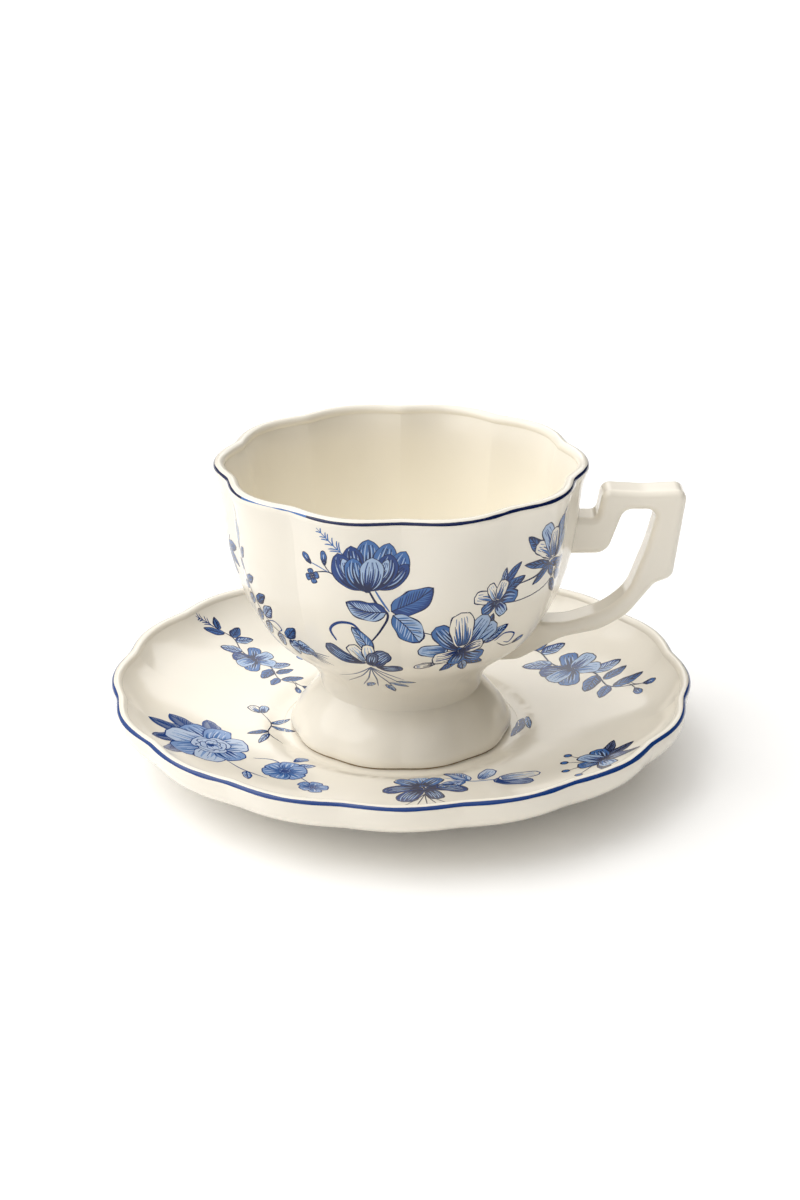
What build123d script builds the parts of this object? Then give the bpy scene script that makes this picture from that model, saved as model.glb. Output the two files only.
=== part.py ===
"""A footed teacup standing on its saucer, in glazed earthenware.

Millimetres, +Z up. The origin is on the table, under the middle of the saucer. The handle points to +X.
"""

from build123d import *
from math import cos, pi, sin, sqrt
import os

# Saucer. The radius of a scalloped wall is the one on the crest of a lobe.
SAUCER_RADIUS = 77.4
SAUCER_HEIGHT = 20.4
SAUCER_LOBES = 16
SAUCER_DENT = 1.3  # how far the rim draws in between two lobes
SAUCER_WALL = 2.9  # at the lip
FOOT_RING_RADIUS = 50.0
FOOT_RING_WIDTH = 3.5
FOOT_RING_HEIGHT = 2.4
WELL_RADIUS = 31.6  # of the flat middle of the well
WELL_FLOOR = 5.8  # where the cup stands
WELL_EDGE = 0.1  # how far the wall of the well starts above its floor

# Cup.
CUP_HEIGHT = 75.1
CUP_TOP = WELL_FLOOR + CUP_HEIGHT
CUP_RIM_RADIUS = 48.3
CUP_LOBES = 10
CUP_DENT = 2.0
CUP_WALL = 2.8
CUP_FLOOR = 26.0
FLOOR_RADIUS = 9.0  # of the flat middle of the bowl's floor
NECK_RADIUS = 21.3
NECK_HEIGHT = 18.9
STAND_RADIUS = 29.7
STAND_WALL = 3.2
STAND_DENT = 0.6

# Handle.
HANDLE_WIDTH = 9.6
HANDLE_EDGE = 1.9  # rounding of its long edges
UPPER_END = 38.0  # where the handle's two ends stop, inside the bowl, before the bowl is cut away
LOWER_END = 20.0

SOFTNESS = 0.22  # 0 would make the line between two lobes a sharp crease
SECTIONS = 9  # upright sections that one lobe is lofted through
OVERLAP = 1.5  # how far a middle disc reaches into a ring of lobes
RECESS = 0.2  # how far a middle disc stays back from the ring's faces
LIP = 1.4  # how far below its top the lip of the saucer starts to turn over
CUP_LIP = 2.0  # the same for the lip of the cup, which leans outwards


def dent(angle, lobes):
    """How far a wall draws in at this angle: 0 on the crest of a lobe, 1 midway to the next lobe."""
    crest = sqrt(cos(lobes * angle / 2) ** 2 + SOFTNESS**2)
    return (sqrt(1 + SOFTNESS**2) - crest) / (sqrt(1 + SOFTNESS**2) - SOFTNESS)


def upright_plane(angle):
    """The plane through the Z axis at this angle: its x runs outwards and its y runs up."""
    return Plane(origin=(0, 0, 0), x_dir=(cos(angle), sin(angle), 0), z_dir=(sin(angle), -cos(angle), 0))


def drawn_in(profile, depth):
    """The points of a profile of radius, height and share, each drawn in by its share of the depth."""
    return [(radius - share * depth, height) for radius, height, share in profile]


def scalloped_ring(outside, inside, depth, lobes, rounded, corner=None):
    """A ring of lobes between an outside profile, listed upwards, and an inside one, listed downwards.

    A rounded lip or a flat edge joins them at the top. The base is flat, and goes by way of the corner.
    """
    with BuildPart() as lobe:
        for step in range(SECTIONS):
            angle = (step / (SECTIONS - 1) - 0.5) * 2 * pi / lobes
            with BuildSketch(upright_plane(angle)):
                with BuildLine():
                    wall = Spline(*drawn_in(outside, depth * dent(angle, lobes)))
                    hollow = Spline(*drawn_in(inside, depth * dent(angle, lobes)))
                    if rounded:
                        TangentArc(wall @ 1, hollow @ 0, tangent=wall % 1)
                    else:
                        Line(wall @ 1, hollow @ 0)
                    if corner:
                        Polyline(hollow @ 1, corner, wall @ 0)
                    else:
                        Line(hollow @ 1, wall @ 0)
                make_face()
        loft()
    with BuildPart() as ring:
        with PolarLocations(0, lobes):
            add(lobe.part)
    return ring.part


def make_saucer():
    """The saucer: a ring of sixteen lobes round a sunk well for the cup, on a foot ring."""
    turn = SAUCER_HEIGHT - LIP
    underside = [
        (FOOT_RING_RADIUS - 1.0, FOOT_RING_HEIGHT, 0.0),
        (59.0, 5.6, 0.1),
        (69.0, 9.7, 0.45),
        (75.0, 13.2, 0.85),
        (SAUCER_RADIUS, turn, 1.0),
    ]
    inside = [
        (SAUCER_RADIUS - SAUCER_WALL, turn, 1.0),
        (70.0, 15.0, 0.6),
        (62.0, 11.6, 0.2),
        (50.0, 8.6, 0.0),
        (40.0, 7.5, 0.0),
        (36.6, 7.1, 0.0),
        (34.4, 6.4, 0.0),
        (WELL_RADIUS, WELL_FLOOR + WELL_EDGE, 0.0),
    ]
    corner = (WELL_RADIUS, FOOT_RING_HEIGHT)
    ring = scalloped_ring(underside, inside, SAUCER_DENT, SAUCER_LOBES, rounded=True, corner=corner)
    with BuildPart() as saucer:
        add(ring)
        with BuildSketch(Plane.XY.offset(FOOT_RING_HEIGHT - RECESS)):
            Circle(WELL_RADIUS + OVERLAP)
        extrude(amount=WELL_FLOOR - FOOT_RING_HEIGHT + RECESS)
        with BuildSketch(Plane.XY):
            Circle(FOOT_RING_RADIUS)
            Circle(FOOT_RING_RADIUS - FOOT_RING_WIDTH, mode=Mode.SUBTRACT)
        extrude(amount=FOOT_RING_HEIGHT + OVERLAP / 2)
    return saucer.part


def make_bowl():
    """The bowl of the cup: a ring of ten lobes that fade out downwards, closed by a floor."""
    turn = CUP_TOP - CUP_LIP
    outside = [
        (NECK_RADIUS, NECK_HEIGHT, 0.0),
        (22.8, 24.0, 0.0),
        (28.2, 30.0, 0.05),
        (34.9, 35.6, 0.2),
        (39.3, 41.5, 0.4),
        (42.3, 48.2, 0.6),
        (44.7, 57.0, 0.8),
        (46.1, 66.0, 0.95),
        (46.9, 74.0, 1.0),
        (CUP_RIM_RADIUS, turn, 1.0),
    ]
    inside = [
        (CUP_RIM_RADIUS - CUP_WALL, turn, 1.0),
        (44.1, 74.0, 1.0),
        (43.1, 66.0, 0.9),
        (41.5, 57.0, 0.7),
        (38.9, 48.2, 0.5),
        (35.5, 42.0, 0.3),
        (30.0, 36.2, 0.1),
        (22.5, 30.6, 0.0),
        (15.5, 27.2, 0.0),
        (FLOOR_RADIUS, CUP_FLOOR, 0.0),
    ]
    corner = (FLOOR_RADIUS, NECK_HEIGHT)
    ring = scalloped_ring(outside, inside, CUP_DENT, CUP_LOBES, rounded=True, corner=corner)
    with BuildPart() as bowl:
        add(ring)
        with BuildSketch(Plane.XY.offset(NECK_HEIGHT + RECESS)):
            Circle(FLOOR_RADIUS + OVERLAP)
        extrude(amount=CUP_FLOOR - NECK_HEIGHT - 2 * RECESS)
    return bowl.part


def make_foot():
    """The hollow foot of the cup, flaring from the neck to a flat edge that stands in the well."""
    outside = [
        (STAND_RADIUS - 0.6, WELL_FLOOR, 1.0),
        (STAND_RADIUS, 7.4, 1.0),
        (28.7, 10.4, 0.9),
        (25.8, 14.4, 0.6),
        (NECK_RADIUS, NECK_HEIGHT, 0.0),
    ]
    inside = [
        (NECK_RADIUS - STAND_WALL - 1.0, NECK_HEIGHT, 0.0),
        (21.6, 14.4, 0.4),
        (25.0, 10.4, 0.8),
        (STAND_RADIUS - STAND_WALL, WELL_FLOOR, 1.0),
    ]
    return scalloped_ring(outside, inside, STAND_DENT, CUP_LOBES, rounded=False)


def make_handle(bowl):
    """The handle: a level bar, a leaning upright with a kink, and an arm that sweeps back to the bowl.

    Its outer and inner outlines are lists of corners, each with the radius that rounds it. Both ends reach
    through the wall of the bowl, which is then cut away, so that handle and bowl meet face to face.
    """
    outer = [
        ((UPPER_END, 66.0), 0),
        ((50.7, 66.0), 1.8),
        ((52.0, 73.7), 2.6),
        ((62.5, 73.1), 20.0),
        ((73.9, 73.7), 2.6),
        ((70.9, 49.6), 2.8),
        ((66.2, 47.7), 4.0),
        ((59.4, 38.7), 14.0),
        ((52.5, 34.6), 14.0),
        ((42.5, 32.4), 14.0),
        ((31.0, 25.9), 6.0),
        ((LOWER_END, 25.4), 0),
    ]
    inner = [
        ((LOWER_END, 36.4), 0),
        ((43.5, 36.5), 16.0),
        ((53.5, 39.9), 18.0),
        ((59.4, 45.2), 12.0),
        ((63.9, 58.0), 40.0),
        ((66.4, 68.3), 2.4),
        ((57.6, 68.3), 3.2),
        ((53.4, 56.2), 4.2),
        ((UPPER_END, 56.0), 0),
    ]
    with BuildPart() as handle:
        with BuildSketch(Plane.XZ):
            with BuildLine():
                rounds = [radius for corner, radius in outer[1:-1]]
                outside = FilletPolyline(*[corner for corner, radius in outer], radius=rounds)
                rounds = [radius for corner, radius in inner[1:-1]]
                loop = FilletPolyline(*[corner for corner, radius in inner], radius=rounds)
                Line(outside @ 1, loop @ 0)
                Line(loop @ 1, outside @ 0)
            make_face()
        extrude(amount=HANDLE_WIDTH / 2, both=True)
        sides = handle.faces().sort_by(Axis.Y)
        ends = handle.edges().filter_by(Axis.Z).filter_by(lambda edge: edge.center().X < UPPER_END + 1)
        long_edges = [edge for side in (sides[0], sides[-1]) for edge in side.edges() if edge not in ends]
        fillet(long_edges, HANDLE_EDGE)
        add(bowl, mode=Mode.SUBTRACT)
    return handle.part.solids().sort_by(SortBy.VOLUME)[-1]


def save(part, name):
    """Label a finished piece and write it to its own STEP file."""
    part.label = name
    export_step(part, f"parts/{name}.step")


if __name__ == "__main__":
    os.makedirs("parts", exist_ok=True)
    cup_bowl = make_bowl()
    save(make_saucer(), "saucer")
    save(cup_bowl, "cup_bowl")
    save(make_foot(), "cup_foot")
    save(make_handle(cup_bowl), "cup_handle")
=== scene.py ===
"""A footed teacup on its saucer: ivory glaze, cobalt print and painted rim lines round the CAD frame."""

import bpy
from bpy.props import FloatProperty, FloatVectorProperty, PointerProperty, StringProperty
from bpy.types import Operator, Panel, PropertyGroup
from cmath import exp as turn_by
from math import cos, pi, radians, sin, tau
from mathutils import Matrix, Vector, noise
from mathutils.bvhtree import BVHTree
from mathutils.geometry import delaunay_2d_cdt
from mathutils.interpolate import poly_3d_calc


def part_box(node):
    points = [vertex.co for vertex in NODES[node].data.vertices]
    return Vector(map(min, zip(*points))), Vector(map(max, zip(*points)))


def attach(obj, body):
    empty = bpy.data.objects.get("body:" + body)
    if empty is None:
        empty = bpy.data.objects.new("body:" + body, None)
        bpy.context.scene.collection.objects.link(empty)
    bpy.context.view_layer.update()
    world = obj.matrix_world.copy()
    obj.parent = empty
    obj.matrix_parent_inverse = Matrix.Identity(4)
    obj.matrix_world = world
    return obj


bl_info = {
    "name": "Footed Teacup",
    "version": (1, 0, 0),
    "blender": (4, 5, 0),
    "location": "3D View > Sidebar > Teacup",
    "description": "Glazes and prints a footed teacup and its saucer",
    "category": "Object",
}

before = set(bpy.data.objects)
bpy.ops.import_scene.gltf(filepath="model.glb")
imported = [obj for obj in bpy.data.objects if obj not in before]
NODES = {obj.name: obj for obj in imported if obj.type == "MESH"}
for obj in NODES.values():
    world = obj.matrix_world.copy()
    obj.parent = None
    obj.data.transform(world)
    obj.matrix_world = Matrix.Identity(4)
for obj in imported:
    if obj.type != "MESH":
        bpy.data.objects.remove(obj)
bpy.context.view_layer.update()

MM = 0.001
FILM = 0.03 * MM  # how far prints and lines stand over the glaze, which is too little to see
CUP_LIP = 2.2 * MM, 1.4 * MM  # how far the middle of the lip is below its top, and half its thickness
SAUCER_LIP = 1.5 * MM, 1.45 * MM  # the same
SAUCER_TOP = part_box("saucer")[1].z
BOWL_BOTTOM, BOWL_TOP = (corner.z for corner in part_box("cup_bowl"))
FOOT_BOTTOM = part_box("cup_foot")[0].z


# ---------------------------------------------------------------- settings


class TeacupGlazeSettings(PropertyGroup):
    ivory: StringProperty(name="Ivory", description="Colour of the glaze in the light", default="#F3EEE3")
    cream: StringProperty(name="Cream", description="Colour where the glaze lies thicker", default="#EEE7D8")
    # inside paints the warm bounce light in the bowl as a creamier tint of the glaze
    inside: StringProperty(name="Inside", description="Creamier colour inside the bowl", default="#FBF5E4")
    roughness: FloatProperty(
        name="Roughness", description="Of the fired glaze", default=0.13, min=0.0, max=1.0, subtype="FACTOR"
    )
    ripple: FloatProperty(
        name="Ripple", description="Height of the slow waves of the glaze", default=0.15 * MM, unit="LENGTH"
    )


class TeacupPrintSettings(PropertyGroup):
    navy: StringProperty(name="Navy", description="Full strength, in the engraved lines", default="#071A48")
    cobalt: StringProperty(name="Cobalt", description="Close hatching", default="#123B7E")
    blue: StringProperty(name="Blue", description="Open hatching", default="#3C6BAA")
    wash: StringProperty(name="Wash", description="Pale wash inside a petal", default="#A3BAD9")
    pale_blue: StringProperty(name="Pale blue", description="Open hatching, worn", default="#7C9AC9")
    pale_wash: StringProperty(name="Pale wash", description="Wash inside a petal, worn", default="#BCCBE2")
    # pale_slate and slate are partly a grey-blue print tone and partly painted reflection, where the shine of
    # the glaze washes the print grey
    pale_slate: StringProperty(name="Pale slate", description="Grey blue, worn", default="#74819F")
    slate: StringProperty(name="Slate", description="Grey blue of the flowers in shade", default="#4C5A7C")


def elevation(name, degrees):
    """A property for where a painted line starts or ends, as an angle up from level."""
    return FloatProperty(name=name, description="Angle up the lip", default=radians(degrees), subtype="ANGLE")


class TeacupRimSettings(PropertyGroup):
    cup_from: elevation("Cup line from", 37)
    cup_to: elevation("Cup line to", 59)
    saucer_from: elevation("Saucer line from", 20)
    saucer_to: elevation("Saucer line to", 60)


class TeacupStageSettings(PropertyGroup):
    paper: StringProperty(name="Paper", description="Colour of the floor", default="#FDFDFD")
    daylight: FloatProperty(name="Daylight", description="Strength of the sun from the left", default=1.2)
    brightest: FloatProperty(name="Brightest", description="Glow of the tent overhead", default=1.45)
    dimmest: FloatProperty(name="Dimmest", description="Glow of the tent low down", default=0.03)
    lens: FloatProperty(name="Lens", description="Focal length of the camera in millimetres", default=66.0)
    eye: FloatVectorProperty(
        name="Eye",
        description="Where the camera stands",
        default=(-0.0003, -0.5369, 0.2644),
        subtype="TRANSLATION",
    )
    tilt: FloatProperty(
        name="Tilt", description="How far the camera looks down", default=radians(22.55), subtype="ANGLE"
    )


# ---------------------------------------------------------------- materials


CLEAR_GLAZE = 1.52  # refractive index
WHITE = (1.0, 1.0, 1.0, 1.0)


def linear(hex_colour):
    """An sRGB hex colour as linear RGBA."""
    parts = [int(hex_colour[i : i + 2], 16) / 255 for i in (1, 3, 5)]
    return (*[part / 12.92 if part <= 0.04045 else ((part + 0.055) / 1.055) ** 2.4 for part in parts], 1.0)


def add_node(tree, kind, links=(), **settings):
    """Add a node with its settings, and link (input, output socket) pairs into it."""
    node = tree.nodes.new(kind)
    for name, value in settings.items():
        title = name.replace("_", " ").title()
        if title in node.inputs.keys():
            node.inputs[title].default_value = value
        else:
            setattr(node, name, value)
    for name, socket in links:
        tree.links.new(socket, node.inputs[name])
    return node


def new_material(name, **surface):
    """A material with one Principled shader, whose even settings stand on its own sockets."""
    material = bpy.data.materials.new(name)
    material.use_nodes = True
    shader = material.node_tree.nodes["Principled BSDF"]
    for title, value in surface.items():
        shader.inputs[title.replace("_", " ")].default_value = value
    return material, material.node_tree, shader


def fired_gloss(tree, shader, roughness):
    """Let the gloss of a fired glaze vary by a quarter, in patches about 25 mm across."""
    place = add_node(tree, "ShaderNodeTexCoord").outputs["Object"]
    patches = add_node(tree, "ShaderNodeTexNoise", [("Vector", place)], scale=40.0, detail=2.0, roughness=0.4)
    low, high = roughness * 0.8, roughness * 1.25
    gloss = add_node(tree, "ShaderNodeMapRange", [("Value", patches.outputs["Fac"])], to_min=low, to_max=high)
    tree.links.new(gloss.outputs["Result"], shader.inputs["Roughness"])
    return place, patches.outputs["Fac"]


def ivory_glaze(name, settings, painted_bounce):
    """Fired lead-free glaze over earthenware: dipped, so it lies thicker in patches and waves a little.

    The eye sees a warm ivory that deepens in slow patches, soft wide highlights, and reflections that wobble.
    For the bowl, a creamier tint on the inside that deepens downwards is painted warm bounce light.
    """
    material, tree, shader = new_material(name, IOR=CLEAR_GLAZE, Specular_IOR_Level=0.5)
    place, patches = fired_gloss(tree, shader, settings.roughness)
    thin, thick = linear(settings.ivory), linear(settings.cream)
    colour = add_node(tree, "ShaderNodeMix", [("Factor", patches)], data_type="RGBA", a=thin, b=thick)
    if painted_bounce:
        # painted warm bounce light inside the bowl: the inside looks towards the axis, where its normal runs
        # against its place
        level = add_node(tree, "ShaderNodeVectorMath", [("Vector", place)], operation="MULTIPLY")
        level.inputs[1].default_value = (1.0, 1.0, 0.0)
        outward = add_node(tree, "ShaderNodeVectorMath", [(0, level.outputs[0])], operation="NORMALIZE")
        normal = add_node(tree, "ShaderNodeNewGeometry").outputs["Normal"]
        pair = [(0, outward.outputs["Vector"]), (1, normal)]
        facing = add_node(tree, "ShaderNodeVectorMath", pair, operation="DOT_PRODUCT").outputs["Value"]
        painted_bounce_within = add_node(tree, "ShaderNodeMapRange", [("Value", facing)], from_min=0.5, from_max=0.1)
        painted_bounce_within.interpolation_type = "SMOOTHSTEP"
        # the painted bounce light gathers from under the lip down to the floor of the bowl
        height = add_node(tree, "ShaderNodeSeparateXYZ", [("Vector", place)]).outputs["Z"]
        top, bottom = BOWL_TOP - 4 * MM, BOWL_BOTTOM + 12 * MM
        painted_bounce_depth = add_node(tree, "ShaderNodeMapRange", [("Value", height)], from_min=top, from_max=bottom)
        pair = [(0, painted_bounce_within.outputs["Result"]), (1, painted_bounce_depth.outputs["Result"])]
        share = add_node(tree, "ShaderNodeMath", pair, operation="MULTIPLY").outputs["Value"]
        pair = [("Factor", share), ("A", colour.outputs["Result"])]
        colour = add_node(tree, "ShaderNodeMix", pair, data_type="RGBA", b=linear(settings.inside))
    tree.links.new(colour.outputs["Result"], shader.inputs["Base Color"])
    # slow waves of the glaze are about 12 mm long
    waves = add_node(tree, "ShaderNodeTexNoise", [("Vector", place)], scale=80.0, detail=1.0, roughness=0.3)
    bump = add_node(tree, "ShaderNodeBump", [("Height", waves.outputs["Fac"])], distance=settings.ripple)
    tree.links.new(bump.outputs["Normal"], shader.inputs["Normal"])
    return material


def bare_body_and_contact_shade(name):
    """Bare earthenware where the glaze was wiped off before firing: a dry, buff-brown, speckled line, whose
    dark brown also paints the contact shadow where the foot stands on the saucer.
    """
    material, tree, shader = new_material(name, Roughness=0.85)
    place = add_node(tree, "ShaderNodeTexCoord").outputs["Object"]
    # specks of the fired body are about 1 mm apart
    specks = add_node(tree, "ShaderNodeTexNoise", [("Vector", place)], scale=900.0, detail=2.0)
    # buff body mottled with brown, dark enough to stand for the painted contact shadow under the foot
    buff, brown = linear("#A08A66"), linear("#6B573C")
    mottle = [("Factor", specks.outputs["Fac"])]
    tint = add_node(tree, "ShaderNodeMix", mottle, data_type="RGBA", a=buff, b=brown)
    tree.links.new(tint.outputs["Result"], shader.inputs["Base Color"])
    return material


def cobalt_under_glaze(name, colour, settings):
    """Cobalt transfer print under clear glaze: a flat inked tone with the same wet gloss as the ware."""
    material, tree, shader = new_material(name, IOR=CLEAR_GLAZE, Base_Color=linear(colour))
    fired_gloss(tree, shader, settings.roughness)
    return material


# ---------------------------------------------------------------- laying things on the glaze


class GlazedFace:
    """The outside of a CAD node, for laying prints and lines on it."""

    def __init__(self, node):
        mesh = NODES[node].data
        mesh.calc_loop_triangles()
        self.corners = [tuple(mesh.vertices[i].co for i in tri.vertices) for tri in mesh.loop_triangles]
        self.normals = [tuple(Vector(n) for n in tri.split_normals) for tri in mesh.loop_triangles]
        self.tree = BVHTree.FromPolygons(
            [vertex.co for vertex in mesh.vertices], [tri.vertices for tri in mesh.loop_triangles]
        )

    def hit(self, start, toward):
        """Where a line from start first meets the face, and the smooth normal there."""
        spot, _, index, _ = self.tree.ray_cast(start, (toward - start).normalized())
        if spot is None:
            raise RuntimeError(f"nothing to print on at {tuple(round(v / MM, 1) for v in toward)} mm")
        shares = poly_3d_calc(self.corners[index], spot)
        normal = sum((n * share for n, share in zip(self.normals[index], shares)), Vector())
        return spot, normal.normalized()


def finished(name, verts, faces, normals, tones, body, materials):
    """A mesh object that shades with the given normals, takes one material per face and rides on the body."""
    mesh = bpy.data.meshes.new(name)
    mesh.from_pydata(verts, [], faces)
    for material in materials:
        mesh.materials.append(material)
    mesh.polygons.foreach_set("material_index", tones)
    mesh.polygons.foreach_set("use_smooth", [True] * len(faces))
    mesh.update()
    mesh.normals_split_custom_set_from_vertices(normals)
    piece = bpy.data.objects.new(name, mesh)
    bpy.context.scene.collection.objects.link(piece)
    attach(piece, body)
    return piece


def around(angle, radius, height):
    """A point by its angle from the front, positive towards the handle, its radius and its height."""
    return Vector((radius * sin(angle), -radius * cos(angle), height))


def paint_band(name, face, ray, body, materials, worn=lambda angle: 0.0, across=5):
    """A brushed band right round a piece.

    ray gives the start and the end of a line cast at the glaze, for an angle and a share of the band's width
    from -0.5 to 0.5. worn goes from 0, a full brush, to 1, where the line is thin and pale.
    """
    verts, normals, faces, tones = [], [], [], []
    steps = 1080
    for step in range(steps):
        angle = step * tau / steps
        # the hand wanders by a sixth of the width, and the brush fills out or thins by a quarter
        wander = noise.noise(around(angle, 6.0, 0.0)) * 0.16
        fullness = 1.0 + 0.28 * noise.noise(around(angle, 11.0, 3.0)) - 0.55 * worn(angle)
        for column in range(across):
            share = column / (across - 1) - 0.5
            spot, normal = face.hit(*ray(angle, wander + fullness * share))
            verts.append(spot + normal * FILM)
            normals.append(normal)
        for column in range(across - 1):
            here, there = step * across + column, (step + 1) % steps * across + column
            faces.append((here, there, there + 1, here + 1))
            tones.append(1 if worn(angle) > 0.5 else 0)
    return finished(name, verts, faces, normals, tones, body, materials)


def round_lip(face, top, drop, half, low, high):
    """Lines cast at the turn of a lip, between two elevations seen from the lip's middle."""
    height = top - drop

    def ray(angle, share):
        axis = Vector((0, 0, height))
        middle = face.hit(around(angle, 0.1, height), axis)[0] - around(angle, half, 0.0)
        up = (low + high) / 2 + (high - low) * share
        outward = around(angle, cos(up), sin(up))
        return middle + outward * 10 * MM, middle

    return ray


def lay_print(name, spray, place, body, tones, scale=1.0, turn=0.0):
    """Cut the shapes of a spray into one film with no overlaps, and lay it on the glaze.

    place gives a spot and its normal for a point of the drawing. The film has no thickness of its own, and
    takes the gloss and the normals of the glaze under it.
    """
    points, outlines = [], []
    for outline, _ in spray.shapes:
        drawn = [p * scale * turn_by(1j * turn) for p in outline]
        area = sum(a.real * b.imag - b.real * a.imag for a, b in zip(drawn, [*drawn[1:], drawn[0]]))
        if area < 0:
            drawn.reverse()
        outlines.append(list(range(len(points), len(points) + len(drawn))))
        points += drawn
    left, right = min(p.real for p in points), max(p.real for p in points)
    low, high = min(p.imag for p in points), max(p.imag for p in points)
    bend = 1.2  # a triangle this long lies close to the curved wall
    for row in range(int((high - low) / bend)):
        for column in range(int((right - left) / bend)):
            points.append(complex(left + (column + 0.5 * (row % 2)) * bend, low + row * bend))
    flat = [Vector((p.real, p.imag)) for p in points]
    inside_only, merge_within = 1, 1e-5
    cut, _, faces, _, _, origins = delaunay_2d_cdt(flat, [], outlines, inside_only, merge_within)
    names = list(tones)
    kept, picks = [], []
    for face, origin in zip(faces, origins):
        tone = spray.shapes[max(origin)][1] if origin else None
        if tone:
            kept.append(face)
            picks.append(names.index(tone))
    used = sorted({corner for face in kept for corner in face})
    number = {corner: i for i, corner in enumerate(used)}
    laid = [place(complex(*cut[corner])) for corner in used]
    verts = [spot + normal * FILM for spot, normal in laid]
    faces = [[number[corner] for corner in face] for face in kept]
    a, b, c = (verts[corner] for corner in faces[0])
    if (b - a).cross(c - a).dot(laid[faces[0][0]][1]) < 0:
        faces = [face[::-1] for face in faces]
    normals, materials = [normal for _, normal in laid], list(tones.values())
    return finished(name, verts, faces, normals, picks, body, materials)


def on_wall(face, angle, height):
    """Where a point of a drawing lies on the wall of the cup, for a drawing at this angle and height.

    Up in the drawing runs up the wall, so a drawing keeps its size where the wall turns under the bowl.
    """
    below_lip, step, count = 2.6 * MM, 0.5 * MM, 115
    levels = [BOWL_TOP - below_lip - k * step for k in range(count)]
    spots = [face.hit(around(angle, 0.1, z), Vector((0, 0, z)))[0] for z in levels]
    radii = [spot.xy.length for spot in spots]
    along = [0.0]
    for here, there in zip(spots, spots[1:]):
        along.append(along[-1] - (there - here).length)
    start = next(distance for distance, z in zip(along, levels) if z <= height)

    def place(point):
        want = start + point.imag * MM
        if not along[-1] <= want <= 0.0:
            raise RuntimeError(f"the drawing at {angle:.2f} runs off the wall at {point.imag:.1f} mm")
        i = next(k for k in range(1, len(along)) if along[k] <= want)
        share = (want - along[i]) / (along[i - 1] - along[i])
        z = levels[i] + (levels[i - 1] - levels[i]) * share
        radius = radii[i] + (radii[i - 1] - radii[i]) * share
        turned = angle + point.real * MM / radius
        return face.hit(around(turned, 0.1, z), Vector((0, 0, z)))

    return place


def on_saucer(face, angle, radius):
    """Where a point of a drawing lies on the saucer, with up in the drawing pointing to the rim."""
    middle = around(angle, radius, 0.0)
    outward, along = around(angle, 1.0, 0.0), around(angle + pi / 2, 1.0, 0.0)

    def place(point):
        flat = middle + (along * point.real + outward * point.imag) * MM
        return face.hit(flat + Vector((0, 0, 50 * MM)), flat)

    return place


# ---------------------------------------------------------------- drawing, in millimetres, x + y * 1j


def flow(points, steps=6):
    """A smooth line through the points."""
    ends = [2 * points[0] - points[1], *points, 2 * points[-1] - points[-2]]
    line = []
    for before, start, end, after in zip(ends, ends[1:], ends[2:], ends[3:]):
        for step in range(steps):
            t = step / steps
            cubic = 3 * (start - end) + after - before
            square = 2 * before - 5 * start + 4 * end - after
            line.append(start + 0.5 * t * (end - before + t * (square + t * cubic)))
    return [*line, points[-1]]


def sides(line):
    """The direction to the left of a line at each of its points."""
    last = len(line) - 1
    ahead = [line[min(i + 1, last)] - line[max(i - 1, 0)] for i in range(last + 1)]
    return [1j * step / abs(step) for step in ahead]


def swell(t, belly, point):
    """Width along a petal or leaf: 0 at both ends and 1 at its belly. A higher point makes sharper ends."""
    return (t / belly) ** (point * belly) * ((1 - t) / (1 - belly)) ** (point * (1 - belly))


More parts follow.
